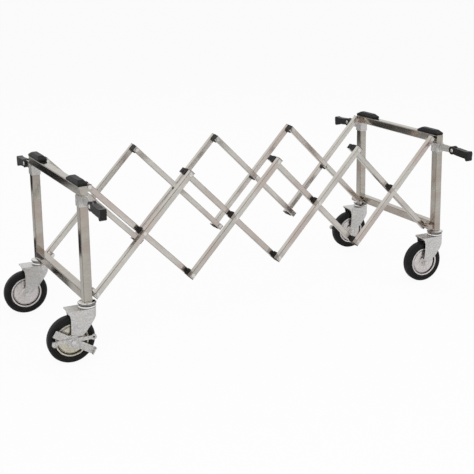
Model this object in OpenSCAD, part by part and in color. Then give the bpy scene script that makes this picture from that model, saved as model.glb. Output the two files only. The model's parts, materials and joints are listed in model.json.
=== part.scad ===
// Folding church truck for a coffin: two end frames on casters, joined by a
// near and a far lattice of crossed square tubes that fold like lazy tongs.
// Units are millimetres, X runs along the truck, Y across it and Z is up. The
// origin is on the floor, midway between the four wheels.

/* [Lattice] */
// Pivot to pivot length of one crossed link
link_len = 504; // [420:2:600]
// Angle of the links above level in the opened position, in degrees
open_angle = 45.6; // [42:0.2:50]
// Number of crossed pairs along each side
cells = 4; // [4:4]
// Outside width of the square link tube
link_w = 20; // [16:1:22]
// Wall of the link tube
link_wall = 1.5; // [1:0.25:2.5]
// Radius of the link tube's long edges
link_round = 2.5; // [1.5:0.5:3.5]
// Tube left beyond the last pivot hole
link_over = 11; // [10.5:0.5:12]
// Gap between the two layers of links
layer_gap = 18; // [14:1:24]
// Side of the square plastic spacer at each pivot
spacer_side = 24; // [20:1:26]
// Radius of the pivot bolts
bolt_r = 4; // [3:0.5:5]
// Radius of the bolt heads and nuts
bolt_head_r = 7; // [6:0.5:8]
// Thickness of the bolt heads and nuts
bolt_head_t = 4; // [3:0.5:5]

/* [End frames] */
// Spacing of the two post centres across the truck
post_gap = 500; // [460:5:600]
// Outside width of the square posts
post_w = 30; // [26:1:34]
// Wall of the posts
post_wall = 2; // [1.5:0.5:3]
// Radius of the long edges of the posts and bars
post_round = 3; // [2:0.5:4]
// Outside width of the square cross bars
bar_w = 30; // [26:1:34]
// Wall of the cross bars
bar_wall = 2; // [1.5:0.5:3]
// Distance from a post centre to the lattice pivots beside it
pivot_reach = 35; // [34:1:46]
// Height of the lower lattice pivots above the post feet
pivot_rise = 15; // [15:1:24]
// Height of the bottom bar above the post feet
bar_rise = 3; // [2:1:8]
// Thickness of the welded pivot brackets
bracket_t = 16; // [10:1:18]
// Thickness of the top keeper plates
keeper_t = 5; // [4:0.5:6]

/* [Pads] */
// Length of a bearer pad along the bar
pad_len = 120; // [90:5:150]
// Width of a bearer pad
pad_w = 34; // [28:1:36]
// Height of a bearer pad
pad_h = 18; // [12:1:24]
// Run of the long bevel at each end of a pad
pad_bevel = 20; // [10:1:30]
// Height of the upright edge below a pad's bevels
pad_edge = 8; // [4:1:10]

/* [Handles] */
// Height of the pressed collar round the post
collar_h = 36; // [32:1:50]
// Sheet of the collar
collar_t = 2; // [1.5:0.5:3]
// Distance from the post centre to the grip's hinge rivet
rivet_out = 96; // [76:1:110]
// Thickness of the arm plate
arm_t = 5; // [4:0.5:6]
// Height of the arm plate at the collar
arm_h = 28; // [26:1:30]
// Length of the grip from its rivet to its outer end
grip_len = 92; // [80:1:130]
// Height of the grip where the hand closes on it
grip_h = 27; // [22:1:30]
// Height of the grip's flared outer end
grip_end_h = 42; // [36:1:48]
// Thickness of the grip across the hand
grip_t = 22; // [18:1:28]
// Radius of the round boss at the grip's hinge
boss_r = 16; // [14:0.5:17]
// Droop of the opened grips below level, in degrees
grip_droop = 4; // [0:1:12]

/* [Casters] */
// Wheel diameter
wheel_d = 160; // [140:2:170]
// Tyre width
tyre_w = 38; // [30:1:42]
// Diameter over the steel wheel discs
rim_d = 114; // [100:1:120]
// Distance from the swivel axis back to the axle
trail = 60; // [48:1:64]
// Overall height from the floor to the post foot
caster_h = 203; // [200:1:225]
// Turn of the casters at rest, in degrees
caster_turn = -5; // [-20:1:20]
// Radius of the swivel head
head_r = 31; // [28:0.5:33]
// Height of the upper race of the swivel head
head_t = 11; // [9:0.5:13]
// Sheet of the fork
fork_t = 3; // [2.5:0.5:4]
// Gap between the fork legs
fork_gap = 51; // [48:1:56]
// Radius of the axle bolt
axle_r = 5; // [4:0.5:8]
// Radius of the threaded swivel stem
stem_r = 6; // [5:0.5:8]

/* [Hidden] */
$fn = 48;

steel = "silver";
dull_steel = "lightslategray";
black = [0.12, 0.12, 0.12];
zinc = [0.72, 0.73, 0.74];

// Sides of the truck across Y, and its ends along X
NEAR = -1;
FAR = 1;
LEFT = -1;
RIGHT = 1;

// Clearances: rubbing_gap parts flat faces of bodies that move past each
// other, run_gap is the radial clearance of a running bore
rubbing_gap = 0.3;
run_gap = 0.05;

// Places of the lattice pivots
pitch = link_len * cos(open_angle);
lattice_h = link_len * sin(open_angle);
end_gap = cells * pitch + 2 * pivot_reach;
wheel_shift = trail * cos(caster_turn);
left_x = wheel_shift - end_gap / 2;
right_x = wheel_shift + end_gap / 2;
first_x = left_x + pivot_reach;
low_z = caster_h + pivot_rise;
high_z = low_z + lattice_h;
mid_z = low_z + lattice_h / 2;

// Layers of the lattice, as distances out from the truck's middle plane:
// rising links outside, falling links inside
outer_y = post_gap / 2;
inner_y = outer_y - link_w - layer_gap;

// Posts and bars: the top bar's middle is level with the upper pivots
top_bar_z = high_z - bar_w / 2;
frame_top = top_bar_z + bar_w;
post_len = top_bar_z - caster_h;
bar_end_y = outer_y + post_w / 2;
bottom_bar_z = caster_h + bar_rise;
stem_len = 40;
bracket_r = 9;

// End plugs of the links
plug_flange = 2;
plug_shank = 5;

// Turned bushes at the end frames' lower pivots
bush_r = 8;

// Handles
collar_top = top_bar_z - 1;
rivet_z = collar_top - arm_h / 2;
rivet_r = 4;
rivet_head_r = 7;
rivet_head_t = 2;
arm_end_r = 12;
rivet_y = outer_y + rivet_out;
slot_gap = 0.3;
slot_over = 3;

// Casters
wheel_r = wheel_d / 2;
rim_r = rim_d / 2;
tread_round = 12;
race_gap = 0.3;
lower_race_t = 10;
plate_top = caster_h - head_t - race_gap - lower_race_t;
plate_bottom = plate_top - fork_t;
fork_out = fork_gap / 2 + fork_t;
leg_r = 13;
leg_neck = 3;
leg_low = wheel_d / 2 - leg_r;
king_r = 8;
king_nut_r = 13;
king_nut_t = 6;
nut_r = 8;
nut_t = 6;
hub_r = 14;

// Foot brakes
brake_t = 3;
brake_hub_r = 22;
brake_slant = 32;
rocker_w = 25;
tab_reach = 71;
pedal_reach = 82;
pedal_out = 12;
bar_lift = 6;
bar_h = 13;
knob_reach = 63;
knob_r = 10;
knob_sink = 1.5;
knob_end = 7;
eye_reach = 69;
eye_r = 10;
eye_hole_r = 3.5;

// Places and turns of the four casters
function post_x(end) = end == LEFT ? left_x : right_x;

module at_caster(end, side) {
  translate([post_x(end), side * outer_y, 0])
    rotate([0, 0, caster_turn])
      children();
}

// A square bar along Z from the origin, its four long edges rounded
module rounded_bar(w, r, len) {
  translate([-w / 2 + r, -w / 2, 0])
    cube([w - 2 * r, w, len]);
  translate([-w / 2, -w / 2 + r, 0])
    cube([w, w - 2 * r, len]);
  for (x = [-1, 1], y = [-1, 1])
    translate([x * (w / 2 - r), y * (w / 2 - r), 0])
      cylinder(r = r, h = len);
}

// A square tube along Z from the origin
module square_tube(w, wall, r, len) {
  difference() {
    rounded_bar(w, r, len);
    translate([-w / 2 + wall, -w / 2 + wall, -1])
      cube([w - 2 * wall, w - 2 * wall, len + 2]);
  }
}

// A cylinder along Y that starts at y and is len long, away from the middle
// plane on the given side
module across(side, y, len, r) {
  translate([0, side * y, 0])
    rotate([-side * 90, 0, 0])
      cylinder(r = r, h = len);
}

// The posts of one end: tubes with a plug welded in the foot for the stem
module posts(end) {
  color(steel)
    for (side = [NEAR, FAR])
      translate([post_x(end), side * outer_y, caster_h])
        difference() {
          union() {
            square_tube(post_w, post_wall, post_round, post_len);
            translate([-post_w / 2 + 1, -post_w / 2 + 1, 0])
              cube([post_w - 2, post_w - 2, stem_len]);
          }
          translate([0, 0, -1])
            cylinder(r = stem_r, h = stem_len + 2);
        }
}

// A closed square bar along Y
module closed_bar(len) {
  difference() {
    translate([0, len / 2, bar_w / 2])
      rotate([90, 0, 0])
        rounded_bar(bar_w, post_round, len);
    translate([-bar_w / 2 + bar_wall, -len / 2 + bar_wall, bar_wall])
      cube([bar_w - 2 * bar_wall, len - 2 * bar_wall, bar_w - 2 * bar_wall]);
  }
}

module top_bar(end) {
  color(steel)
    translate([post_x(end), 0, top_bar_z])
      closed_bar(2 * bar_end_y);
}

module bottom_bar(end) {
  color(steel)
    translate([post_x(end), 0, bottom_bar_z])
      closed_bar(2 * outer_y - post_w);
}

// A rubber pad with an upright edge, long end bevels and short side bevels
module pad() {
  side_bevel = pad_w / 5;
  hull() {
    translate([-pad_w / 2, -pad_len / 2, 0])
      cube([pad_w, pad_len, pad_edge]);
    translate([-pad_w / 2 + side_bevel, -pad_len / 2 + pad_bevel, 0])
      cube([pad_w - 2 * side_bevel, pad_len - 2 * pad_bevel, pad_h]);
  }
}

module pads(end) {
  color(black)
    for (side = [NEAR, FAR])
      translate([post_x(end), side * (bar_end_y - pad_len / 2), frame_top])
        pad();
}

// A welded pivot bracket from a face at from_x to round the pivot at to_x,
// centred on the origin in Y and Z
module pivot_bracket(from_x, to_x) {
  translate([min(from_x, to_x), -bracket_t / 2, -bracket_r])
    cube([abs(to_x - from_x), bracket_t, 2 * bracket_r]);
  translate([to_x, 0, 0])
    rotate([90, 0, 0])
      cylinder(r = bracket_r, h = bracket_t, center = true);
}

// A keeper plate with a slot open at the top, in which the link's pin sits
module keeper(from_x, to_x) {
  slot_r = bolt_r + rubbing_gap;
  low = -bar_w / 2;
  high = bracket_r;
  end_x = to_x + sign(to_x - from_x) * bracket_r;
  difference() {
    translate([min(from_x, end_x), -keeper_t / 2, low])
      cube([abs(end_x - from_x), keeper_t, high - low]);
    translate([to_x, 0, 0])
      rotate([90, 0, 0])
        cylinder(r = slot_r, h = keeper_t + 2, center = true);
    translate([to_x - slot_r, -keeper_t / 2 - 1, 0])
      cube([2 * slot_r, keeper_t + 2, high + 1]);
  }
}

// Distance out from the middle plane of the keeper plates: outside the
// falling links at the left, inside the rising links at the right
left_keeper_y = inner_y + link_w / 2 + rubbing_gap + keeper_t / 2;
right_keeper_y = outer_y - link_w / 2 - rubbing_gap - keeper_t / 2;

// The left brackets: pivot ears on the bottom bar, keepers on the top bar
module left_brackets() {
  color(steel)
    for (side = [NEAR, FAR]) {
      translate([left_x, side * inner_y, low_z])
        difference() {
          pivot_bracket(bar_w / 2, pivot_reach);
          translate([pivot_reach, 0, 0])
            rotate([90, 0, 0])
              cylinder(r = bolt_r + run_gap, h = bracket_t + 2, center = true);
        }
      translate([left_x, side * left_keeper_y, high_z])
        keeper(bar_w / 2, pivot_reach);
    }
}

// The right brackets: pivot ears with their studs on the posts, keepers on
// the top bar
module right_brackets() {
  stud_end = inner_y - link_w / 2 - rubbing_gap - bolt_head_t;
  bush_end = inner_y + link_w / 2 + rubbing_gap;
  color(steel)
    for (side = [NEAR, FAR]) {
      translate([right_x, side * outer_y, low_z])
        pivot_bracket(-post_w / 2, -pivot_reach);
      translate([right_x - pivot_reach, 0, low_z]) {
        across(side, stud_end, outer_y - stud_end, bolt_r);
        across(side, bush_end, outer_y - bush_end, bush_r);
        across(side, stud_end, bolt_head_t, bolt_head_r);
      }
      translate([right_x, side * right_keeper_y, high_z])
        keeper(-bar_w / 2, -pivot_reach);
    }
}

// A pressed collar round the post top with the arm plate that carries the grip
module handle_collars(end) {
  sleeve_w = post_w + 2 * collar_t;
  arm_start = post_w / 2 + collar_t - 0.5;
  sleeve_low = collar_top - rivet_z - collar_h;
  color(zinc)
    for (side = [NEAR, FAR])
      translate([post_x(end), side * outer_y, rivet_z])
        mirror([0, side == NEAR ? 1 : 0, 0]) {
          difference() {
            translate([-sleeve_w / 2, -sleeve_w / 2, sleeve_low])
              cube([sleeve_w, sleeve_w, collar_h]);
            translate([-post_w / 2, -post_w / 2, sleeve_low - 1])
              cube([post_w, post_w, collar_h + 2]);
          }
          difference() {
            union() {
              rotate([90, 0, 90])
                linear_extrude(height = arm_t, center = true)
                  polygon([
                    [arm_start, -arm_h / 2],
                    [arm_start, arm_h / 2],
                    [rivet_out, arm_end_r],
                    [rivet_out, -arm_end_r]
                  ]);
              translate([0, rivet_out, 0])
                rotate([0, 90, 0])
                  cylinder(r = arm_end_r, h = arm_t, center = true);
            }
            translate([0, rivet_out, 0])
              rotate([0, 90, 0])
                cylinder(r = rivet_r, h = arm_t + 2, center = true);
          }
        }
}

// The hinge rivets of the grips, held in the arms
module grip_rivets(end) {
  reach = grip_t / 2 + rubbing_gap;
  color(steel)
    for (side = [NEAR, FAR])
      translate([post_x(end), side * rivet_y, rivet_z])
        rotate([0, 90, 0]) {
          cylinder(r = rivet_r, h = 2 * reach, center = true);
          for (s = [-1, 1])
            mirror([0, 0, s < 0 ? 1 : 0])
              translate([0, 0, reach])
                cylinder(r1 = rivet_head_r, r2 = rivet_head_r - 2, h = rivet_head_t);
        }
}

// A moulded grip: a slotted boss at the rivet, a waist for the hand and a
// flared, hooked outer end
module grip(end, side) {
  neck = boss_r + 6;
  flare = grip_len - 26;
  hook_r = 8;
  color(black)
    translate([post_x(end), side * rivet_y, rivet_z])
      mirror([0, side == NEAR ? 1 : 0, 0])
        rotate([-grip_droop, 0, 0])
          difference() {
            union() {
              rotate([0, 90, 0])
                cylinder(r = boss_r, h = grip_t, center = true);
              rotate([90, 0, 90])
                linear_extrude(height = grip_t, center = true)
                  polygon([
                    [boss_r / 2, boss_r - 4],
                    [neck, grip_h / 2],
                    [flare, grip_h / 2],
                    [grip_len - 4, grip_end_h / 2 - 4],
                    [grip_len, grip_end_h / 2 - 10],
                    [grip_len - 1, -grip_end_h / 2 + hook_r],
                    [grip_len - hook_r, -grip_end_h / 2 + 1],
                    [grip_len - 2 * hook_r + 1, -grip_end_h / 2 + hook_r],
                    [flare - 4, -grip_h / 2],
                    [neck, -grip_h / 2],
                    [boss_r / 2, -boss_r + 4]
                  ]);
              translate([0, grip_len - hook_r, -grip_end_h / 2 + hook_r])
                rotate([0, 90, 0])
                  cylinder(r = hook_r, h = grip_t, center = true);
            }
            rotate([0, 90, 0])
              cylinder(r = boss_r + slot_over, h = arm_t + 2 * slot_gap, center = true);
            rotate([0, 90, 0])
              cylinder(r = rivet_r + run_gap, h = grip_t + 2, center = true);
          }
}

// Upper races of the swivels, with the threaded stem and the king pin
module swivel_heads(end) {
  color(steel)
    for (side = [NEAR, FAR])
      translate([post_x(end), side * outer_y, 0]) {
        translate([0, 0, caster_h - head_t])
          rotate_extrude()
            polygon([
              [0, 0],
              [head_r - 6, 0],
              [head_r, 3],
              [head_r, 6],
              [head_r - 5, head_t - 2],
              [post_w / 2 + 1, head_t],
              [0, head_t]
            ]);
        translate([0, 0, caster_h - 1])
          cylinder(r = stem_r, h = stem_len);
        translate([0, 0, plate_bottom - rubbing_gap - king_nut_t])
          cylinder(r = king_r, h = caster_h - plate_bottom);
        translate([0, 0, plate_bottom - rubbing_gap - king_nut_t])
          cylinder(r = king_nut_r, h = king_nut_t);
      }
}

// The plan shape of the fork, straight sided behind and round in front, from
// z0 up to z1 and reaching back past the legs
module fork_plan(half, back, z0, z1) {
  translate([-trail - leg_r - back, -half, z0])
    cube([trail + leg_r + back, 2 * half, z1 - z0]);
  translate([0, 0, z0])
    cylinder(r = half, h = z1 - z0);
}

// The side view of the fork as a block across it: wide at the top, drawn in
// to a narrow neck behind, and rounded off below the axle
module fork_side() {
  back = -trail - leg_r;
  neck = -trail - leg_neck;
  rotate([90, 0, 0])
    linear_extrude(height = 2 * fork_out + 2, center = true)
      polygon([
        [fork_out + 1, plate_top],
        [fork_out - 4, plate_top - 30],
        [fork_out - 20, wheel_r + 54],
        [-trail + 45, wheel_r + 24],
        [-trail + 28, wheel_r + 10],
        [-trail + leg_r - 2, wheel_r - 5],
        [-trail, leg_low + 1],
        [back, wheel_r],
        [back + 3, wheel_r + 10],
        [neck - 2, wheel_r + 24],
        [neck, wheel_r + 38],
        [neck, plate_bottom - 22],
        [neck - 3, plate_bottom - 9],
        [back, plate_bottom - 2],
        [back, plate_top]
      ]);
  translate([-trail, 0, wheel_r])
    rotate([90, 0, 0])
      cylinder(r = leg_r, h = 2 * fork_out + 2, center = true);
}

module fork(end, side) {
  color(zinc)
    at_caster(end, side)
      difference() {
        union() {
          intersection() {
            difference() {
              fork_plan(fork_out, 0, leg_low, plate_top);
              fork_plan(fork_gap / 2, 1, leg_low - 1, plate_bottom);
            }
            fork_side();
          }
          translate([0, 0, plate_top - 0.5])
            rotate_extrude()
              polygon([
                [0, 0],
                [head_r - 3, 0],
                [head_r - 1, 2.5],
                [head_r - 1, 5],
                [head_r - 5, lower_race_t + 0.5],
                [0, lower_race_t + 0.5]
              ]);
        }
        translate([0, 0, plate_bottom - 1])
          cylinder(r = king_r + run_gap, h = lower_race_t + fork_t + 3);
        translate([-trail, 0, wheel_r])
          rotate([90, 0, 0])
            cylinder(r = axle_r, h = 2 * fork_out + 2, center = true);
      }
}

// The axle bolt with its head and nut, longer on the side of a brake
module axle(end, side, braked) {
  outer_seat = fork_out + (braked ? 2 * brake_t + 2 * rubbing_gap : 0);
  color(steel)
    at_caster(end, side)
      translate([-trail, 0, wheel_r])
        mirror([0, side == NEAR ? 1 : 0, 0]) {
          translate([0, -fork_out, 0])
            rotate([-90, 0, 0])
              cylinder(r = axle_r, h = fork_out + outer_seat);
          translate([0, outer_seat, 0])
            rotate([-90, 0, 0])
              cylinder(r = nut_r, h = nut_t, $fn = 6);
          translate([0, -fork_out, 0])
            rotate([90, 0, 0])
              cylinder(r = nut_r, h = nut_t, $fn = 6);
        }
}

// The pressed wheel centre: two dished discs on a hub tube, made as one
module rim(end, side) {
  hub_half = fork_gap / 2 - 0.5;
  seat_half = tyre_w / 2 - 5;
  bore = axle_r + run_gap;
  color(zinc)
    at_caster(end, side)
      translate([-trail, 0, wheel_r])
        rotate([90, 0, 0])
          rotate_extrude()
            polygon([
              [bore, -hub_half],
              [hub_r, -hub_half],
              [hub_r + 2, -seat_half],
              [rim_r - 12, -seat_half + 3],
              [rim_r - 8, -seat_half - 4],
              [rim_r - 1, -seat_half - 4],
              [rim_r, -seat_half - 3],
              [rim_r, seat_half + 3],
              [rim_r - 1, seat_half + 4],
              [rim_r - 8, seat_half + 4],
              [rim_r - 12, seat_half - 3],
              [hub_r + 2, seat_half],
              [hub_r, hub_half],
              [bore, hub_half]
            ]);
}

// The solid rubber tyre with rounded shoulders
module tyre(end, side) {
  half = tyre_w / 2;
  inside = rim_r;
  color(black)
    at_caster(end, side)
      translate([-trail, 0, wheel_r])
        rotate([90, 0, 0])
          rotate_extrude($fn = 96)
            polygon(concat(
              [[inside, half - 2], [inside, -half + 2], [inside + 3, -half]],
              [for (a = [-90:15:0])
                [wheel_r - tread_round + tread_round * cos(a),
                 -half + tread_round + tread_round * sin(a)]],
              [for (a = [0:15:90])
                [wheel_r - tread_round + tread_round * cos(a),
                 half - tread_round + tread_round * sin(a)]],
              [[inside + 3, half]]
            ));
}

// The rocker of the foot brake: a pressed plate that slants from its release
// tab down to its foot pedal, both treads bent outwards
module brake_rocker() {
  len = tab_reach + pedal_reach;
  cylinder(r = brake_hub_r, h = brake_t);
  rotate([0, 0, -brake_slant]) {
    translate([-tab_reach, -rocker_w / 2, 0])
      cube([len, rocker_w, brake_t]);
    translate([pedal_reach - brake_t, -rocker_w / 2, 0])
      cube([brake_t, rocker_w, pedal_out]);
  }
}

// The bar in front of the rocker, from its round knob to its open eye
module brake_bar() {
  translate([0, bar_lift, brake_t - 0.5]) {
    difference() {
      union() {
        translate([-knob_reach - knob_end, -bar_h / 2, 0])
          cube([knob_end + knob_reach + eye_reach, bar_h, brake_t + 0.5]);
        translate([eye_reach, 0, 0])
          cylinder(r = eye_r, h = brake_t + 0.5);
      }
      translate([eye_reach, 0, -1])
        cylinder(r = eye_hole_r, h = brake_t + 3);
    }
    translate([-knob_reach, 0, brake_t + 0.5 + knob_r - knob_sink])
      sphere(r = knob_r);
  }
}

// The foot brake, which rocks on the axle outside the fork
module brake(end, side) {
  inner_face = fork_out + rubbing_gap;
  color(dull_steel)
    at_caster(end, side)
      translate([-trail, 0, wheel_r])
        mirror([0, side == NEAR ? 0 : 1, 0])
          translate([0, -inner_face, 0])
            rotate([90, 0, 0])
              difference() {
                union() {
                  brake_rocker();
                  brake_bar();
                }
                translate([0, 0, -1])
                  cylinder(r = axle_r + run_gap, h = 2 * brake_t + 2);
              }
}

// Places a link's parts, which lie along X from its low left or high left
// pivot, on one side of the truck. rise is 1 for rising and -1 for falling
module at_link(i, rise, side) {
  start_z = rise > 0 ? low_z : high_z;
  y = rise > 0 ? outer_y : inner_y;
  translate([first_x + (i - 1) * pitch, side * y, start_z])
    rotate([0, -rise * open_angle, 0])
      children();
}

// The tubes of one link, near and far. Bolts are tight in rising links and
// turn in falling ones
module link_tubes(i, rise) {
  hole_r = bolt_r + (rise > 0 ? 0 : run_gap);
  color(steel)
    for (side = [NEAR, FAR])
      at_link(i, rise, side)
        difference() {
          translate([-link_over, 0, 0])
            rotate([0, 90, 0])
              square_tube(link_w, link_wall, link_round, link_len + 2 * link_over);
          for (x = [0, link_len / 2, link_len])
            translate([x, 0, 0])
              rotate([90, 0, 0])
                cylinder(r = hole_r, h = link_w + 2, center = true);
        }
}

// A flanged plug for a tube end that looks along +X
module end_plug() {
  in_w = link_w - 2 * link_wall;
  translate([0, -link_w / 2, -link_w / 2])
    cube([plug_flange, link_w, link_w]);
  translate([-plug_shank, -in_w / 2, -in_w / 2])
    cube([plug_shank + 0.5, in_w, in_w]);
}

// A plastic spacer from distance y to y + t out from the middle plane, at x
// along the link
module spacer(side, link_y, x, y, t) {
  difference() {
    translate([x - spacer_side / 2, side * (y - link_y) - (side < 0 ? t : 0), -spacer_side / 2])
      cube([spacer_side, t, spacer_side]);
    translate([x, side * (y - link_y), 0])
      rotate([90, 0, 0])
        cylinder(r = bolt_r + run_gap, h = 3 * t, center = true);
  }
}

// The plastic end plugs of a rising link
module rising_plugs(i) {
  color(black)
    for (side = [NEAR, FAR])
      at_link(i, 1, side) {
        translate([link_len + link_over, 0, 0])
          end_plug();
        translate([-link_over, 0, 0])
          mirror([1, 0, 0])
            end_plug();
      }
}

// The plastic parts of a falling link: end plugs, and the spacers that part it
// from the rising links
module falling_plugs(i) {
  face = inner_y + link_w / 2;
  color(black)
    for (side = [NEAR, FAR])
      at_link(i, -1, side) {
        translate([link_len + link_over, 0, 0])
          end_plug();
        translate([-link_over, 0, 0])
          mirror([1, 0, 0])
            end_plug();
        if (i > 1)
          spacer(side, inner_y, 0, face, layer_gap - rubbing_gap);
        spacer(side, inner_y, link_len / 2, face, layer_gap - rubbing_gap);
        if (i < cells)
          spacer(side, inner_y, link_len, face, layer_gap - rubbing_gap);
      }
}

// A domed bolt head, outwards from y on one side
module dome_head(side, y) {
  edge = bolt_head_t / 4;
  round_r = bolt_head_t - edge;
  translate([0, side * y, 0])
    rotate([-side * 90, 0, 0])
      rotate_extrude()
        polygon(concat(
          [[0, 0], [bolt_head_r, 0]],
          [for (a = [0:15:90])
            [bolt_head_r - round_r + round_r * cos(a), edge + round_r * sin(a)]],
          [[0, bolt_head_t]]
        ));
}

// A pivot bolt through both layers, its head outside and its nut inside
module pivot_bolt(side, x, z, inner_end) {
  head_in = outer_y + link_w / 2;
  translate([x, 0, z]) {
    across(side, inner_end, head_in - inner_end + 1, bolt_r);
    dome_head(side, head_in);
    across(side, inner_end, bolt_head_t, bolt_head_r);
  }
}

// The bolts carried by a rising link: at its low end, its middle and its top.
// The first one's lower bolts have a bush that stands off the bracket
module rising_bolts(i) {
  bush_start = inner_y + bracket_t / 2 + rubbing_gap;
  nut_in = inner_y - link_w / 2 - rubbing_gap - bolt_head_t;
  ear_in = inner_y - bracket_t / 2 - rubbing_gap - bolt_head_t;
  keeper_in = right_keeper_y - keeper_t / 2 - rubbing_gap - bolt_head_t;
  x0 = first_x + (i - 1) * pitch;
  color(steel)
    for (side = [NEAR, FAR]) {
      pivot_bolt(side, x0, low_z, i == 1 ? ear_in : nut_in);
      if (i == 1)
        translate([x0, 0, low_z])
          across(side, bush_start, outer_y - link_w / 2 - bush_start, bush_r);
      pivot_bolt(side, x0 + pitch / 2, mid_z, nut_in);
      pivot_bolt(side, x0 + pitch, high_z, i == cells ? keeper_in : nut_in);
    }
}

// The pins at the top of the first falling link, which rest in the left
// keepers
module falling_keeper_pins() {
  pin_in = inner_y - link_w / 2;
  pin_out = left_keeper_y + keeper_t / 2 + rubbing_gap;
  color(steel)
    for (side = [NEAR, FAR])
      translate([first_x, 0, high_z]) {
        across(side, pin_in - bolt_head_t + 1, pin_out - pin_in + bolt_head_t, bolt_r);
        across(side, pin_in - bolt_head_t, bolt_head_t, bolt_head_r);
        across(side, pin_out, bolt_head_t, bolt_head_r);
      }
}

posts(LEFT);  // left_posts
top_bar(LEFT);  // left_top_bar
bottom_bar(LEFT);  // left_bottom_bar
pads(LEFT);  // left_pads
left_brackets();
handle_collars(LEFT);  // left_handle_collars
grip_rivets(LEFT);  // left_grip_rivets
swivel_heads(LEFT);  // left_swivel_heads
posts(RIGHT);  // right_posts
top_bar(RIGHT);  // right_top_bar
bottom_bar(RIGHT);  // right_bottom_bar
pads(RIGHT);  // right_pads
right_brackets();
handle_collars(RIGHT);  // right_handle_collars
grip_rivets(RIGHT);  // right_grip_rivets
swivel_heads(RIGHT);  // right_swivel_heads
link_tubes(1, 1);  // rising_link_1
link_tubes(2, 1);  // rising_link_2
link_tubes(3, 1);  // rising_link_3
link_tubes(4, 1);  // rising_link_4
link_tubes(1, -1);  // falling_link_1
link_tubes(2, -1);  // falling_link_2
link_tubes(3, -1);  // falling_link_3
link_tubes(4, -1);  // falling_link_4
rising_plugs(1);  // rising_plugs_1
rising_plugs(2);  // rising_plugs_2
rising_plugs(3);  // rising_plugs_3
rising_plugs(4);  // rising_plugs_4
falling_plugs(1);  // falling_plugs_1
falling_plugs(2);  // falling_plugs_2
falling_plugs(3);  // falling_plugs_3
falling_plugs(4);  // falling_plugs_4
rising_bolts(1);  // rising_bolts_1
rising_bolts(2);  // rising_bolts_2
rising_bolts(3);  // rising_bolts_3
rising_bolts(4);  // rising_bolts_4
falling_keeper_pins();  // falling_keeper_pins_1
grip(LEFT, NEAR);  // near_left_grip
grip(LEFT, FAR);  // far_left_grip
grip(RIGHT, NEAR);  // near_right_grip
grip(RIGHT, FAR);  // far_right_grip
fork(LEFT, NEAR);  // near_left_fork
axle(LEFT, NEAR, true);  // near_left_axle
rim(LEFT, NEAR);  // near_left_rim
tyre(LEFT, NEAR);  // near_left_tyre
fork(LEFT, FAR);  // far_left_fork
axle(LEFT, FAR, false);  // far_left_axle
rim(LEFT, FAR);  // far_left_rim
tyre(LEFT, FAR);  // far_left_tyre
fork(RIGHT, NEAR);  // near_right_fork
axle(RIGHT, NEAR, false);  // near_right_axle
rim(RIGHT, NEAR);  // near_right_rim
tyre(RIGHT, NEAR);  // near_right_tyre
fork(RIGHT, FAR);  // far_right_fork
axle(RIGHT, FAR, true);  // far_right_axle
rim(RIGHT, FAR);  // far_right_rim
tyre(RIGHT, FAR);  // far_right_tyre
brake(LEFT, NEAR);  // near_left_brake
brake(RIGHT, FAR);  // far_right_brake
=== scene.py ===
"""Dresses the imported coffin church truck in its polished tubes, zinc sheet, rubber and plastic.

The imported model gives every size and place. Each class below looks after one sub-assembly: it
reads where its parts lie, builds the pieces that need more form than plain solids, and gives
each of them its finish. Lengths are in metres, in the truck's own frame.
"""
import json
import logging
import math
from dataclasses import dataclass, field
from enum import Enum
from typing import Any, Iterable, Sequence

import bmesh
import bpy
from mathutils import Matrix, Vector


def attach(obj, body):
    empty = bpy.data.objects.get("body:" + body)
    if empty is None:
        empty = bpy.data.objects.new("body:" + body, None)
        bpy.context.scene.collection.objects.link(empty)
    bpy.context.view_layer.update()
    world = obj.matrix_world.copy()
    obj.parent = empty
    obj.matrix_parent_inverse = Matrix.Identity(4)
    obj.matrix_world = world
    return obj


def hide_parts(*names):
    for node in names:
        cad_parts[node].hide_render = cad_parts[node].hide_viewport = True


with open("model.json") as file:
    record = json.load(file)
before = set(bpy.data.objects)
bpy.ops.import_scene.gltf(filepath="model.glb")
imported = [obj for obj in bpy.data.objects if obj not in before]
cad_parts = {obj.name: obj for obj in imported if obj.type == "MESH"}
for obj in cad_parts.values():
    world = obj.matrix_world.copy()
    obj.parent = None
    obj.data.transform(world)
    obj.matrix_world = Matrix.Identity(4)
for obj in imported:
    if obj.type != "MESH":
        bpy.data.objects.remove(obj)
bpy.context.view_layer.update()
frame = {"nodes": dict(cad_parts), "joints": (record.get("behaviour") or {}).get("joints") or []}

MM = 0.001

logging.basicConfig(level=logging.INFO, format="%(name)s: %(message)s")
log = logging.getLogger("truck")

Colour = tuple[float, float, float]


class End(Enum):
    """The two ends of the truck."""

    LEFT = "left"
    RIGHT = "right"


class Side(Enum):
    """The two long sides of the truck, with the sign of their Y."""

    NEAR = -1
    FAR = 1

    @property
    def word(self) -> str:
        """The side's name as the nodes spell it."""
        return self.name.lower()


class Layer(Enum):
    """The two layers of links, with the sign of their slope."""

    RISING = 1
    FALLING = -1

    @property
    def word(self) -> str:
        """The layer's name as the nodes spell it."""
        return self.name.lower()


# The lean of a tube's corner where its painted dark reflection line starts, and where it is full
CORNER_REFLECTION_START = 0.03
CORNER_REFLECTION_FULL = 0.2

# The painted dark reflection rings on a chromed race: radians to the metre, and the sine where they
# start and are full
RING_RATE = 900.0
RING_START = 0.1
RING_FULL = 0.7
# The race's chrome between the painted rings, and the dark of the painted reflection rings
RACE_BRIGHT = (0.85, 0.84, 0.82)
PAINTED_RING_DARK = (0.05, 0.05, 0.05)

# The height from which a fork is its lower race, and how soft that border is
LOWER_RACE_Z = 182.5 * MM
LOWER_RACE_BORDER = 0.5 * MM

# Shader expressions


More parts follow.
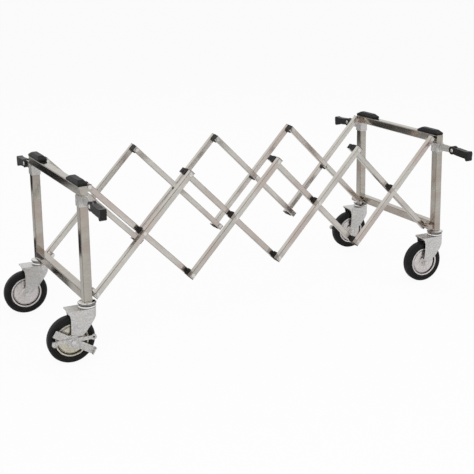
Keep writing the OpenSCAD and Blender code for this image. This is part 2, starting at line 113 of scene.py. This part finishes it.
@dataclass(frozen=True)
class Wire:
    """An output socket of a material, which can be used in plain arithmetic."""

    graph: "Graph"
    socket: bpy.types.NodeSocket

    def _math(self, operation: str, first: Any, second: Any = 0.0) -> "Wire":
        """Adds one Math node.

        Args:
            operation: The Math node's operation.
            first: A number or a wire.
            second: A number or a wire.

        Returns:
            The node's result.
        """
        return self.graph.node("ShaderNodeMath", {"operation": operation}, {0: first, 1: second})

    def __add__(self, other: Any) -> "Wire":
        """This plus other."""
        return self._math("ADD", self, other)

    __radd__ = __add__

    def __sub__(self, other: Any) -> "Wire":
        """This less other."""
        return self._math("SUBTRACT", self, other)

    def __rsub__(self, other: Any) -> "Wire":
        """Other less this."""
        return self._math("SUBTRACT", other, self)

    def __mul__(self, other: Any) -> "Wire":
        """This times other."""
        return self._math("MULTIPLY", self, other)

    __rmul__ = __mul__

    def sine(self) -> "Wire":
        """The sine of this, in radians."""
        return self._math("SINE", self)

    def larger(self, other: Any) -> "Wire":
        """The larger of this and other."""
        return self._math("MAXIMUM", self, other)

    def clipped(self) -> "Wire":
        """This held between 0 and 1."""
        return self._math("MINIMUM", self.larger(0.0), 1.0)


class Graph:
    """A material's node tree, built by expressions."""

    def __init__(self, name: str) -> None:
        """Makes an empty material.

        Args:
            name: The material's name.
        """
        self.material = bpy.data.materials.new(name)
        self.material.use_nodes = True
        self.tree = self.material.node_tree
        self.tree.nodes.clear()

    def node(
        self,
        kind: str,
        settings: dict[str, Any] | None = None,
        inputs: dict[Any, Any] | None = None,
        output: Any = 0,
    ) -> Wire:
        """Adds a node of any kind.

        Args:
            kind: The node's type name.
            settings: Its own settings, which are set first. A ramp's stops come as "stops".
            inputs: Values or wires for its sockets, by name or number.
            output: The output to hand back, by name or number.

        Returns:
            The chosen output.
        """
        made = self.tree.nodes.new(kind)
        for key, value in (settings or {}).items():
            if key == "stops":
                self._set_stops(made.color_ramp, value)
            else:
                setattr(made, key, value)
        for key, value in (inputs or {}).items():
            if isinstance(value, Wire):
                self.tree.links.new(value.socket, made.inputs[key])
            else:
                made.inputs[key].default_value = value
        return Wire(self, made.outputs[output])

    @staticmethod
    def _set_stops(ramp: bpy.types.ColorRamp, stops: Sequence[tuple[float, Colour]]) -> None:
        """Puts a ramp's stops in place.

        Args:
            ramp: The ramp to fill.
            stops: Pairs of position and colour, in order.
        """
        while len(ramp.elements) < len(stops):
            ramp.elements.new(1.0)
        for element, (place, colour) in zip(ramp.elements, stops):
            element.position = place
            element.color = (*colour, 1.0)

    def place(self) -> Wire:
        """The point in the truck's frame."""
        return self.node("ShaderNodeTexCoord", output="Object")

    def turned(self, angle: float, scale: Sequence[float]) -> Wire:
        """The point turned about Y and scaled.

        Args:
            angle: The turn in radians, which lays a link's slope along X.
            scale: How many times finer each axis gets.

        Returns:
            The new point.
        """
        level = self.node(
            "ShaderNodeVectorRotate",
            {"rotation_type": "Y_AXIS"},
            {"Vector": self.place(), "Angle": angle},
        )
        return self.node(
            "ShaderNodeVectorMath", {"operation": "MULTIPLY"}, {0: level, 1: tuple(scale)}
        )

    def corner(self, angle: float) -> Wire:
        """How far a tube's surface leans from its flat faces: 0 on them, 1 on its round corners. It
        masks the painted dark reflection line along the corners.

        Args:
            angle: The turn in radians, which lays the tube square to the axes.

        Returns:
            The lean.
        """
        normal = self.node("ShaderNodeTexCoord", output="Normal")
        level = self.node(
            "ShaderNodeVectorRotate",
            {"rotation_type": "Y_AXIS"},
            {"Vector": normal, "Angle": angle},
        )
        sides = self.node("ShaderNodeVectorMath", {"operation": "ABSOLUTE"}, {0: level})
        parts = [self.node("ShaderNodeSeparateXYZ", None, {0: sides}, axis) for axis in "XYZ"]
        most = parts[0].larger(parts[1]).larger(parts[2])
        return self.band(1.0 - most, CORNER_REFLECTION_START, CORNER_REFLECTION_FULL)

    def rings(self) -> Wire:
        """Painted reflection: level dark rings up the height, as a chromed race would mirror them: 0
        is bright, 1 is dark.
        """
        height = self.node("ShaderNodeSeparateXYZ", None, {0: self.place()}, "Z")
        return self.band((height * RING_RATE).sine(), RING_START, RING_FULL)

    def noise(self, point: Wire, scale: float, detail: float = 3.0, rough: float = 0.5) -> Wire:
        """Cloudy noise from 0 to 1.

        Args:
            point: Where it is read.
            scale: How many clouds to the metre.
            detail: How many octaves it has.
            rough: How strong the finer octaves are.

        Returns:
            The noise.
        """
        return self.node(
            "ShaderNodeTexNoise",
            None,
            {"Vector": point, "Scale": scale, "Detail": detail, "Roughness": rough},
            "Fac",
        )

    def band(self, value: Wire, low: float, high: float) -> Wire:
        """A smooth step that is 0 at low and 1 at high.

        Args:
            value: What is stepped.
            low: Where the step starts.
            high: Where it ends.

        Returns:
            The step.
        """
        return self.node(
            "ShaderNodeMapRange",
            {"interpolation_type": "SMOOTHSTEP", "clamp": True},
            {"Value": value, "From Min": low, "From Max": high},
        )

    def blend(self, amount: Any, first: Any, second: Any) -> Wire:
        """A colour between two colours.

        Args:
            amount: How much of the second there is.
            first: A colour or a wire.
            second: A colour or a wire.

        Returns:
            The mixed colour.
        """
        inputs = {"Factor": amount}
        for key, value in (("A", first), ("B", second)):
            inputs[key] = value if isinstance(value, Wire) else (*value, 1.0)
        made = self.tree.nodes.new("ShaderNodeMix")
        made.data_type = "RGBA"
        sockets = {"Factor": made.inputs[0], "A": made.inputs[6], "B": made.inputs[7]}
        for key, value in inputs.items():
            if isinstance(value, Wire):
                self.tree.links.new(value.socket, sockets[key])
            else:
                sockets[key].default_value = value
        return Wire(self, made.outputs[2])

    def bump(self, height: Wire, depth: float, strength: float = 1.0) -> Wire:
        """A normal bent by a height.

        Args:
            height: The height, from 0 to 1.
            depth: How far 1 stands proud, in metres.
            strength: How much of the bend is kept.

        Returns:
            The normal.
        """
        return self.node(
            "ShaderNodeBump",
            None,
            {"Height": height, "Distance": depth, "Strength": strength},
        )

    def finish(self, **inputs: Any) -> bpy.types.Material:
        """Ends the material with its surface.

        Args:
            **inputs: Values or wires for the surface's sockets, with _ for a space.

        Returns:
            The material.
        """
        named = {}
        for key, value in inputs.items():
            colour = key.endswith("Color") and not isinstance(value, Wire)
            named[key.replace("_", " ")] = (*value, 1.0) if colour else value
        surface = self.node("ShaderNodeBsdfPrincipled", None, named)
        out = self.tree.nodes.new("ShaderNodeOutputMaterial")
        self.tree.links.new(surface.socket, out.inputs["Surface"])
        return self.material


# Finishes


@dataclass(frozen=True)
class PolishedTube:
    """Bright drawn tube: faint draw lines mixed with painted reflection streaks, cloudy tarnish, a
    slight warm cast and a painted dark reflection line on its round corners.
    """

    name: str
    light: Colour = (0.55, 0.52, 0.46)
    warm: Colour = (0.50, 0.43, 0.38)
    dull: Colour = (0.34, 0.32, 0.29)
    # The painted dark reflection line on the tube's round corners
    edge: Colour = (0.16, 0.15, 0.14)
    roughness: float = 0.13
    slope: float = 0.0

    def material(self) -> bpy.types.Material:
        """The finished material."""
        g = Graph(self.name)
        along = g.turned(self.slope, (6.0, 90.0, 90.0))
        lines = g.noise(along, 9.0, 2.0)
        cloud = g.noise(g.place(), 7.0, 3.0)
        tint = g.noise(g.turned(self.slope, (1.0, 3.0, 3.0)), 5.0, 1.0)
        colour = g.blend(g.band(tint, 0.42, 0.62), self.light, self.warm)
        colour = g.blend(g.band(cloud, 0.5, 0.8) * 0.6, colour, self.dull)
        # Streaks along the length: faint draw lines, partly painted reflection streaks
        lines_and_reflection_streak = g.band(lines, 0.4, 0.65) * 0.4
        colour = g.blend(lines_and_reflection_streak, colour, self.dull)
        # Painted reflection: the round corners darken towards the edge colour
        colour = g.blend(g.corner(self.slope) * 0.75, colour, self.edge)
        rough = self.roughness + 0.12 * (cloud - 0.5) + 0.08 * (lines - 0.5)
        return g.finish(Base_Color=colour, Metallic=1.0, Roughness=rough.clipped())


@dataclass(frozen=True)
class ZincSheet:
    """Zinc plated pressed steel: mottled, with a soft sheen, and chromed from a given height up,
    where painted dark reflection rings run round it.
    """

    name: str
    light: Colour = (0.82, 0.81, 0.79)
    dark: Colour = (0.58, 0.57, 0.56)
    warm: Colour = (0.72, 0.67, 0.65)
    roughness: float = 0.36
    race_from: float = 0.0

    def material(self) -> bpy.types.Material:
        """The finished material."""
        g = Graph(self.name)
        spangle = g.noise(g.place(), 210.0, 4.0, 0.6)
        cloud = g.noise(g.place(), 28.0, 2.0)
        colour = g.blend(g.band(spangle, 0.35, 0.7), self.dark, self.light)
        colour = g.blend(g.band(cloud, 0.5, 0.75) * 0.6, colour, self.warm)
        grain = g.noise(g.place(), 900.0, 2.0)
        rough = self.roughness + 0.25 * (spangle - 0.5)
        if self.race_from:
            height = g.node("ShaderNodeSeparateXYZ", None, {0: g.place()}, "Z")
            race = g.band(height, self.race_from, self.race_from + LOWER_RACE_BORDER)
            # Above race_from the sheet turns to chrome with painted dark reflection rings
            colour = g.blend(race, colour, g.blend(g.rings(), RACE_BRIGHT, PAINTED_RING_DARK))
            rough = rough * (1.0 - 0.7 * race)
        return g.finish(
            Base_Color=colour,
            Metallic=1.0,
            Roughness=rough.clipped(),
            Normal=g.bump(grain, 0.00006),
        )


@dataclass(frozen=True)
class BrightMetal:
    """Chromed or burnished metal with fine wear, and painted dark reflection rings when asked."""

    name: str
    colour: Colour = (0.80, 0.79, 0.77)
    worn: Colour = (0.55, 0.52, 0.48)
    roughness: float = 0.08
    ringed: bool = False

    def material(self) -> bpy.types.Material:
        """The finished material."""
        g = Graph(self.name)
        smudge = g.noise(g.place(), 60.0, 3.0)
        colour = g.blend(g.band(smudge, 0.5, 0.8), self.colour, self.worn)
        # Painted reflection: level dark rings up the height
        if self.ringed:
            colour = g.blend(g.rings(), colour, PAINTED_RING_DARK)
        return g.finish(
            Base_Color=colour,
            Metallic=1.0,
            Roughness=(self.roughness + 0.15 * g.band(smudge, 0.45, 0.85)).clipped(),
        )


@dataclass(frozen=True)
class BlackRubber:
    """Black rubber with fine grain and pale dust."""

    name: str
    colour: Colour = (0.008, 0.008, 0.008)
    dust: Colour = (0.03, 0.029, 0.027)
    roughness: float = 0.5
    grain: float = 0.0001

    def material(self) -> bpy.types.Material:
        """The finished material."""
        g = Graph(self.name)
        dusty = g.noise(g.place(), 40.0, 5.0, 0.6)
        pores = g.noise(g.place(), 700.0, 3.0)
        colour = g.blend(g.band(dusty, 0.5, 0.8) * 0.6, self.colour, self.dust)
        return g.finish(
            Base_Color=colour,
            Roughness=(self.roughness + 0.2 * (dusty - 0.5)).clipped(),
            Specular_IOR_Level=0.22,
            Normal=g.bump(pores, self.grain),
        )


@dataclass(frozen=True)
class MouldedPlastic:
    """Black moulded plastic with a leathery texture."""

    name: str
    colour: Colour = (0.009, 0.009, 0.009)
    scuff: Colour = (0.028, 0.028, 0.027)
    roughness: float = 0.38

    def material(self) -> bpy.types.Material:
        """The finished material."""
        g = Graph(self.name)
        leather = g.node(
            "ShaderNodeTexVoronoi", {"feature": "F1"}, {"Vector": g.place(), "Scale": 900.0}
        )
        scuffed = g.noise(g.place(), 50.0, 4.0)
        colour = g.blend(g.band(scuffed, 0.5, 0.85) * 0.6, self.colour, self.scuff)
        return g.finish(
            Base_Color=colour,
            Roughness=(self.roughness + 0.2 * (scuffed - 0.5)).clipped(),
            Specular_IOR_Level=0.3,
            Normal=g.bump(leather, 0.00005),
        )


class Finishes:
    """Every finish of the truck, made once and handed out by slot."""

    def __init__(self, slope: float) -> None:
        """Makes the materials.

        Args:
            slope: The links' slope in radians.
        """
        self.by_slot: dict[str, bpy.types.Material] = {
            "frame_tube": PolishedTube("frame tube").material(),
            "zinc_sheet": ZincSheet("zinc sheet").material(),
            "rim_steel": ZincSheet(
                "wheel disc", light=(0.90, 0.86, 0.85), dark=(0.70, 0.66, 0.65), roughness=0.3
            ).material(),
            "brake_steel": ZincSheet("brake plate", dark=(0.5, 0.49, 0.48)).material(),
            "bolt_steel": BrightMetal("bolt steel", roughness=0.15).material(),
            # The swivel heads' chrome gets painted dark reflection rings
            "bright_race": BrightMetal("chromed race", ringed=True).material(),
            "pad_rubber": BlackRubber("pad rubber", roughness=0.45).material(),
            "tyre_rubber": BlackRubber("tyre rubber").material(),
            "grip_plastic": MouldedPlastic("grip plastic").material(),
            "black_plastic": MouldedPlastic("plug plastic", roughness=0.5).material(),
        }
        self.links = {
            layer: PolishedTube(
                f"{layer.word} link tube",
                light=(0.72, 0.69, 0.64),
                warm=(0.64, 0.56, 0.51),
                dull=(0.44, 0.41, 0.38),
                roughness=0.13,
                slope=layer.value * slope,
            ).material()
            for layer in Layer
        }
        # The forks' lower races get painted dark reflection rings
        self.fork_sheet = ZincSheet("fork sheet", race_from=LOWER_RACE_Z).material()
        self.yellow_disc = ZincSheet(
            "yellow wheel disc", light=(0.84, 0.81, 0.68), dark=(0.62, 0.58, 0.47), roughness=0.3
        ).material()


# Meshes


def polar(centre: Sequence[float], radius: float, degrees: float) -> tuple[float, float]:
    """A point on a circle.

    Args:
        centre: The circle's centre.
        radius: Its radius.
        degrees: The angle from the first axis.

    Returns:
        The point.
    """
    angle = math.radians(degrees)
    return centre[0] + radius * math.cos(angle), centre[1] + radius * math.sin(angle)


def arc(
    centre: Sequence[float], radius: float, start: float, end: float, steps: int = 6
) -> list[tuple[float, float]]:
    """Points along an arc, both ends included.

    Args:
        centre: The arc's centre.
        radius: Its radius.
        start: Its first angle in degrees.
        end: Its last angle in degrees.
        steps: How many pieces it is cut into.

    Returns:
        The points.
    """
    return [polar(centre, radius, start + (end - start) * i / steps) for i in range(steps + 1)]


def link_piece(mesh: bpy.types.Mesh, name: str) -> bpy.types.Object:
    """Puts a mesh into the scene.

    Args:
        mesh: The mesh.
        name: The piece's name.

    Returns:
        The new object.
    """
    piece = bpy.data.objects.new(name, mesh)
    bpy.context.scene.collection.objects.link(piece)
    return piece


def lathe(
    bm: bmesh.types.BMesh, profile: Sequence[tuple[float, float]], place: Matrix, steps: int = 96
) -> None:
    """Turns a closed outline about the local Y axis.

    Args:
        bm: The bmesh that gets the ring.
        profile: Pairs of radius and place along the axis, closed back to the first.
        place: Where the local frame lies.
        steps: How many pieces a turn has.
    """
    rings = []
    for i in range(steps):
        turn = 2 * math.pi * i / steps
        rings.append(
            [
                bm.verts.new(place @ Vector((r * math.cos(turn), y, r * math.sin(turn))))
                for r, y in profile
            ]
        )
    count = len(profile)
    for i in range(steps):
        here, after = rings[i], rings[(i + 1) % steps]
        for j in range(count):
            k = (j + 1) % count
            bm.faces.new((here[j], here[k], after[k], after[j]))


def flat_card(
    name: str, corner: Sequence[float], first: Sequence[float], second: Sequence[float]
) -> bpy.types.Object:
    """Makes a flat four-cornered sheet.

    Args:
        name: The piece's name.
        corner: One of its corners.
        first: The edge that runs from that corner.
        second: The other edge that runs from it.

    Returns:
        The sheet.
    """
    bm = bmesh.new()
    start, one, two = Vector(corner), Vector(first), Vector(second)
    for spot in (start, start + one, start + one + two, start + two):
        bm.verts.new(spot)
    bm.verts.ensure_lookup_table()
    bm.faces.new(bm.verts)
    return bm_piece(name, bm)


def both_sides(half: Sequence[tuple[float, float]]) -> list[tuple[float, float]]:
    """Closes half an outline with its mirror image across the wheel's middle.

    Args:
        half: Pairs of radius and place along the axis, from the bore outwards.

    Returns:
        The whole outline.
    """
    return [*half, *((r, -y) for r, y in reversed(half))]


def dome(bm: bmesh.types.BMesh, place: Matrix, radius: float, height: float) -> None:
    """Adds a low round head.

    Args:
        bm: The bmesh that gets it.
        place: Its foot, with Y outwards.
        radius: Its radius.
        height: How far it stands out.
    """
    shape = Matrix.Diagonal((radius, height, radius, 1.0))
    bmesh.ops.create_icosphere(bm, subdivisions=3, radius=1.0, matrix=place @ shape)


def bm_piece(name: str, bm: bmesh.types.BMesh) -> bpy.types.Object:
    """Ends a bmesh as a piece with its faces turned outwards.

    Args:
        name: The piece's name.
        bm: The bmesh, which is freed.

    Returns:
        The piece.
    """
    bmesh.ops.recalc_face_normals(bm, faces=bm.faces)
    mesh = bpy.data.meshes.new(name)
    bm.to_mesh(mesh)
    bm.free()
    return link_piece(mesh, name)


def smooth(piece: bpy.types.Object, degrees: float = 35.0) -> None:
    """Shades a piece smooth, with its sharp edges kept.

    Args:
        piece: The piece.
        degrees: The angle from which an edge stays sharp.
    """
    mesh = piece.data
    mesh.shade_smooth()
    mesh.set_sharp_from_angle(angle=math.radians(degrees))


def soften(piece: bpy.types.Object, width: float, degrees: float = 35.0, segments: int = 2) -> None:
    """Rounds a piece's sharp edges a little.

    Args:
        piece: The piece or node.
        width: How wide the rounding is.
        degrees: The angle from which an edge is rounded.
        segments: How many faces the rounding has.
    """
    weld = piece.modifiers.new("weld", "WELD")
    weld.merge_threshold = 0.00002
    bevel = piece.modifiers.new("soft edges", "BEVEL")
    bevel.width = width
    bevel.segments = segments
    bevel.limit_method = "ANGLE"
    bevel.angle_limit = math.radians(degrees)
    bevel.harden_normals = False
    bevel.use_clamp_overlap = True


def dress(piece: bpy.types.Object, material: bpy.types.Material) -> None:
    """Gives a piece its only material.

    Args:
        piece: The piece or node.
        material: The material.
    """
    piece.data.materials.clear()
    piece.data.materials.append(material)


@dataclass
class Workshop:
    """What every sub-assembly needs: the nodes, their bodies and the finishes."""

    finishes: Finishes
    nodes: dict[str, bpy.types.Object] = field(default_factory=lambda: frame["nodes"])
    joints: dict[str, dict[str, Any]] = field(
        default_factory=lambda: {j["name"]: j for j in frame["joints"]}
    )

    def keep(
        self,
        node: str,
        slot: str,
        soft: float = 0.0,
        material: bpy.types.Material | None = None,
    ) -> None:
        """Dresses a node that stays as it is.

        Args:
            node: The node's name.
            slot: The record's slot for it.
            soft: How wide its edges are rounded, or 0 for none.
            material: Another material than the slot's own.
        """
        piece = self.nodes[node]
        dress(piece, material or self.finishes.by_slot[slot])
        if soft:
            soften(piece, soft)
        log.info("kept %s as %s", node, slot)

    def add(
        self,
        piece: bpy.types.Object,
        body: str,
        slot: str,
        replaced: Iterable[str] = (),
        material: bpy.types.Material | None = None,
    ) -> bpy.types.Object:
        """Puts a new piece on its body.

        Args:
            piece: The piece.
            body: The body that it rides on.
            slot: The record's slot for it.
            replaced: The nodes that it stands for.
            material: Another material than the slot's own.

        Returns:
            The piece.
        """
        dress(piece, material or self.finishes.by_slot[slot])
        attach(piece, body)
        if replaced:
            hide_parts(*replaced)
        log.info("built %s on %s", piece.name, body)
        return piece


# How wide edges are rounded: rubber and grips, pressed sheet, collars, and small hardware
SOFT_EDGE = 3 * MM
SHEET_EDGE = 1.2 * MM
COLLAR_EDGE = 0.7 * MM
FINE_EDGE = 0.6 * MM

# The caster wheel's section

WHEEL_R = 80 * MM
WALL_Y = 19 * MM
SHOULDER = 12 * MM
GROOVE_R = 66 * MM
WALL_R = 57.5 * MM
WEB_Y = 11.8 * MM
DISC_R = 46 * MM
DISC_Y = 14.6 * MM
BEAD_R = 53.6 * MM
BEAD_Y = 15.2 * MM
BEAD_ROUND = 3.4 * MM
HUB_BORE = 6.5 * MM
HUB_R = 14 * MM
HUB_HALF = 24 * MM
DISC_ROUND = 4 * MM
RIVETS = 5
RIVET_R = 28 * MM
RIVET_HEAD_R = 3.2 * MM
RIVET_HEAD_H = 1.8 * MM


# The caster whose wheel disc has a yellow cast
YELLOW_WHEEL = "near_left"


# Sub-assemblies


@dataclass
class EndFrame:
    """The posts, bars, pads, brackets and collars of one end."""

    shop: Workshop
    end: End

    def build(self) -> None:
        """Dresses the frame."""
        e = self.end.value
        keep = self.shop.keep
        for part in ("posts", "top_bar", "bottom_bar"):
            keep(f"{e}_{part}", "frame_tube")
        keep(f"{e}_brackets", "frame_tube", SHEET_EDGE)
        keep(f"{e}_pads", "pad_rubber", SOFT_EDGE)
        keep(f"{e}_handle_collars", "zinc_sheet", COLLAR_EDGE)
        keep(f"{e}_grip_rivets", "bolt_steel")
        keep(f"{e}_swivel_heads", "bright_race")


@dataclass
class Lattice:
    """The crossed links of both sides with their plugs and bolts."""

    shop: Workshop
    cells: int = 4

    def build(self) -> None:
        """Dresses each link."""
        for i in range(1, self.cells + 1):
            for layer in Layer:
                self.shop.keep(
                    f"{layer.word}_link_{i}", "link_tube", 0.0, self.shop.finishes.links[layer]
                )
                self.shop.keep(f"{layer.word}_plugs_{i}", "black_plastic", FINE_EDGE)
            self.shop.keep(f"rising_bolts_{i}", "bolt_steel")
        self.shop.keep("falling_keeper_pins_1", "bolt_steel")


@dataclass
class Caster:
    """One caster: its fork, axle, wheel and brake."""

    shop: Workshop
    end: End
    side: Side

    @property
    def name(self) -> str:
        """The caster's name as the nodes spell it."""
        return f"{self.side.word}_{self.end.value}"

    def place(self) -> Matrix:
        """The wheel's frame: its centre, with Y along the axle."""
        spin = self.shop.joints[f"{self.name}_wheel_spin"]
        axle = Vector(spin["axis"]).normalized()
        up = Vector((0, 0, 1))
        ahead = axle.cross(up)
        turn = Matrix((ahead, axle, up)).transposed().to_4x4()
        return Matrix.Translation(Vector(spin["pos_m"])) @ turn

    def build(self) -> None:
        """Dresses the caster."""
        n = self.name
        self.shop.keep(f"{n}_fork", "zinc_sheet", SHEET_EDGE, self.shop.finishes.fork_sheet)
        self.shop.keep(f"{n}_axle", "bolt_steel", FINE_EDGE)
        self._rim()
        self._tyre()
        brake = f"{n}_brake"
        if brake in self.shop.nodes:
            self.shop.keep(brake, "brake_steel", FINE_EDGE)

    def _rim(self) -> None:
        """Builds the pressed discs with their hub, bead rings and rivets."""
        place = self.place()
        bm = bmesh.new()
        disc = [
            (HUB_BORE, HUB_HALF),
            (HUB_R - MM, HUB_HALF),
            (HUB_R, HUB_HALF - MM),
            (HUB_R + 1.5 * MM, DISC_Y + 2 * MM),
            (HUB_R + DISC_ROUND, DISC_Y),
            *arc((DISC_R - DISC_ROUND, DISC_Y - DISC_ROUND), DISC_ROUND, 90, 20),
            (DISC_R + MM, WEB_Y),
        ]
        lathe(bm, both_sides(disc), place)
        for side in Side:
            ring = arc((BEAD_R, side.value * BEAD_Y), BEAD_ROUND, 0, 345, 23)
            lathe(bm, ring, place)
            for i in range(RIVETS):
                x, z = polar((0.0, 0.0), RIVET_R, 360 / RIVETS * (i + 0.5))
                foot = Matrix.Translation(Vector((x, side.value * DISC_Y, z)))
                dome(bm, place @ foot, RIVET_HEAD_R, RIVET_HEAD_H)
        piece = bm_piece(f"{self.name}_pressed_rim", bm)
        smooth(piece)
        material = self.shop.finishes.yellow_disc if self.name == YELLOW_WHEEL else None
        self.shop.add(piece, f"{self.name}_wheel", "rim_steel", [f"{self.name}_rim"], material)

    def _tyre(self) -> None:
        """Builds the tyre with its sunk web, side grooves and round shoulders."""
        half = [
            (DISC_R, WEB_Y),
            (WALL_R, WEB_Y),
            (WALL_R + 0.8 * MM, WALL_Y - 1.2 * MM),
            (WALL_R + 2 * MM, WALL_Y),
            (GROOVE_R - MM, WALL_Y),
            (GROOVE_R - 0.5 * MM, WALL_Y - 0.9 * MM),
            (GROOVE_R + 0.5 * MM, WALL_Y - 0.9 * MM),
            (GROOVE_R + MM, WALL_Y),
            *arc((WHEEL_R - SHOULDER, WALL_Y - SHOULDER), SHOULDER, 90, 0, 8),
        ]
        bm = bmesh.new()
        lathe(bm, both_sides(half), self.place(), 128)
        piece = bm_piece(f"{self.name}_moulded_tyre", bm)
        smooth(piece, 28.0)
        self.shop.add(piece, f"{self.name}_wheel", "tyre_rubber", [f"{self.name}_tyre"])


@dataclass
class Grip:
    """One folding hand grip."""

    shop: Workshop
    end: End
    side: Side

    def build(self) -> None:
        """Dresses the grip."""
        self.shop.keep(f"{self.side.word}_{self.end.value}_grip", "grip_plastic", SOFT_EDGE)


# Studio


@dataclass(frozen=True)
class PhotoCamera:
    """The camera at the photograph's viewing angle."""

    azimuth: float = -29.025
    elevation: float = 11.598
    roll: float = -0.81
    distance: float = 3.6
    lens: float = 72.773
    shift_y: float = -0.22
    look: tuple[float, float, float] = (0.0217, -0.0208, 0.6484)

    def build(self) -> None:
        """Makes it the scene's camera."""
        a, e = math.radians(self.azimuth), math.radians(self.elevation)
        back = Vector((math.sin(a) * math.cos(e), -math.cos(a) * math.cos(e), math.sin(e)))
        data = bpy.data.cameras.new("photo camera")
        data.lens = self.lens
        data.sensor_width = 36.0
        data.shift_y = self.shift_y
        camera = bpy.data.objects.new("photo camera", data)
        bpy.context.scene.collection.objects.link(camera)
        level = (-back).to_track_quat("-Z", "Y").to_matrix().to_4x4()
        tilt = Matrix.Rotation(math.radians(self.roll), 4, "Z")
        spot = Vector(self.look) + back * self.distance
        camera.matrix_world = Matrix.Translation(spot) @ level @ tilt
        bpy.context.scene.camera = camera


@dataclass(frozen=True)
class Studio:
    """The pale floor, the lamps, the plain world and the dark flags that metal mirrors."""

    floor_colour: Colour = (0.9, 0.9, 0.9)
    floor_size: float = 60.0
    floor_glow: float = 0.93
    ambient: float = 0.5
    mirrored: float = 0.85

    def build(self) -> None:
        """Sets the studio up."""
        scene = bpy.context.scene
        scene.view_settings.view_transform = "Standard"
        self._world(scene)
        self._floor()
        self._lamp("key", (-2.2, -3.2, 3.4), 2.4, 75.0)
        self._lamp("fill", (3.0, -1.5, 2.6), 2.4, 26.0)
        self._lamp("back", (0.5, 3.2, 3.2), 2.6, 26.0)
        self._flag("dark floor band", (-4.0, 1.95, 0.004), (8.0, 0.0, 0.0), (0.0, 0.8, 0.0), 0.02)
        self._flag("dim floor behind", (-4.0, 1.2, 0.004), (8.0, 0.0, 0.0), (0.0, 0.75, 0.0), 0.55)
        self._flag("dark floor spot", (-1.6, 0.75, 0.005), (0.75, 0.0, 0.0), (0.0, 0.35, 0.0), 0.03)
        self._flag("dark front card", (-5.0, -6.0, 0.8), (5.0, 0.0, 0.0), (0.0, 0.0, 2.2), 0.04)

    def _world(self, scene: bpy.types.Scene) -> None:
        """A plain white world, dimmer as a light and a little dimmer where it is mirrored.

        Args:
            scene: The scene that gets it.
        """
        world = bpy.data.worlds.new("pale studio")
        scene.world = world
        world.use_nodes = True
        tree = world.node_tree
        tree.nodes.clear()
        path = tree.nodes.new("ShaderNodeLightPath")
        level: Any = self.ambient
        for ray, full in (("Is Camera Ray", 1.0), ("Is Glossy Ray", self.mirrored)):
            step = tree.nodes.new("ShaderNodeMath")
            step.operation = "MULTIPLY_ADD"
            tree.links.new(path.outputs[ray], step.inputs[0])
            step.inputs[1].default_value = full - self.ambient
            if isinstance(level, float):
                step.inputs[2].default_value = level
            else:
                tree.links.new(level, step.inputs[2])
            level = step.outputs[0]
        shade = tree.nodes.new("ShaderNodeBackground")
        shade.inputs["Color"].default_value = (1.0, 1.0, 1.0, 1.0)
        tree.links.new(level, shade.inputs["Strength"])
        out = tree.nodes.new("ShaderNodeOutputWorld")
        tree.links.new(shade.outputs[0], out.inputs["Surface"])

    def _floor(self) -> None:
        """A wide pale floor that keeps the truck's soft shadow."""
        size = self.floor_size
        corner = (-size / 2, -size / 2, 0.0)
        floor = flat_card("studio_floor", corner, (size, 0.0, 0.0), (0.0, size, 0.0))
        g = Graph("studio floor")
        path = g.node("ShaderNodeLightPath", output="Is Camera Ray")
        soft = g.node("ShaderNodeBsdfDiffuse", None, {"Color": (*self.floor_colour, 1.0)})
        glow = g.node("ShaderNodeEmission", None, {"Strength": 1.0})
        mixed = g.node("ShaderNodeMixShader", None, {0: path * self.floor_glow, 1: soft, 2: glow})
        out = g.tree.nodes.new("ShaderNodeOutputMaterial")
        g.tree.links.new(mixed.socket, out.inputs["Surface"])
        dress(floor, g.material)

    def _lamp(self, name: str, place: Sequence[float], size: float, power: float) -> None:
        """A soft square lamp that looks at the truck.

        Args:
            name: The lamp's name.
            place: Where it hangs.
            size: Its side.
            power: Its power in watts.
        """
        data = bpy.data.lights.new(name, "AREA")
        data.size = size
        data.energy = power
        lamp = bpy.data.objects.new(name, data)
        bpy.context.scene.collection.objects.link(lamp)
        lamp.location = place
        aim = Vector((0.0, 0.0, 0.3)) - Vector(place)
        lamp.rotation_mode = "QUATERNION"
        lamp.rotation_quaternion = aim.to_track_quat("-Z", "Y")
        lamp.visible_glossy = False

    def _flag(
        self,
        name: str,
        corner: Sequence[float],
        first: Sequence[float],
        second: Sequence[float],
        grey: float,
    ) -> None:
        """A flat card that only bright metal sees.

        Args:
            name: The card's name.
            corner: One of its corners.
            first: The edge that runs from that corner.
            second: The other edge that runs from it.
            grey: How light it is, from 0 to 1.
        """
        card = flat_card(name.replace(" ", "_"), corner, first, second)
        g = Graph(name)
        glow = g.node("ShaderNodeEmission", None, {"Color": (grey, grey, grey, 1.0)})
        out = g.tree.nodes.new("ShaderNodeOutputMaterial")
        g.tree.links.new(glow.socket, out.inputs["Surface"])
        dress(card, g.material)
        card.visible_camera = False
        card.visible_diffuse = False
        card.visible_transmission = False
        card.visible_shadow = False


@dataclass
class Truck:
    """The whole truck."""

    shop: Workshop

    def build(self) -> None:
        """Builds every sub-assembly in order."""
        for end in End:
            EndFrame(self.shop, end).build()
            for side in Side:
                Caster(self.shop, end, side).build()
                Grip(self.shop, end, side).build()
        Lattice(self.shop).build()


def link_slope() -> float:
    """The links' slope in radians, from the first link's lower and middle pivots."""
    joints = {j["name"]: Vector(j["pos_m"]) for j in frame["joints"]}
    run = joints["cross_1"] - joints["fold"]
    return math.atan2(run.z, run.x)


def main() -> None:
    """Builds the studio and the truck."""
    PhotoCamera().build()
    Studio().build()
    Truck(Workshop(Finishes(link_slope()))).build()


if __name__ == "__main__":
    main()
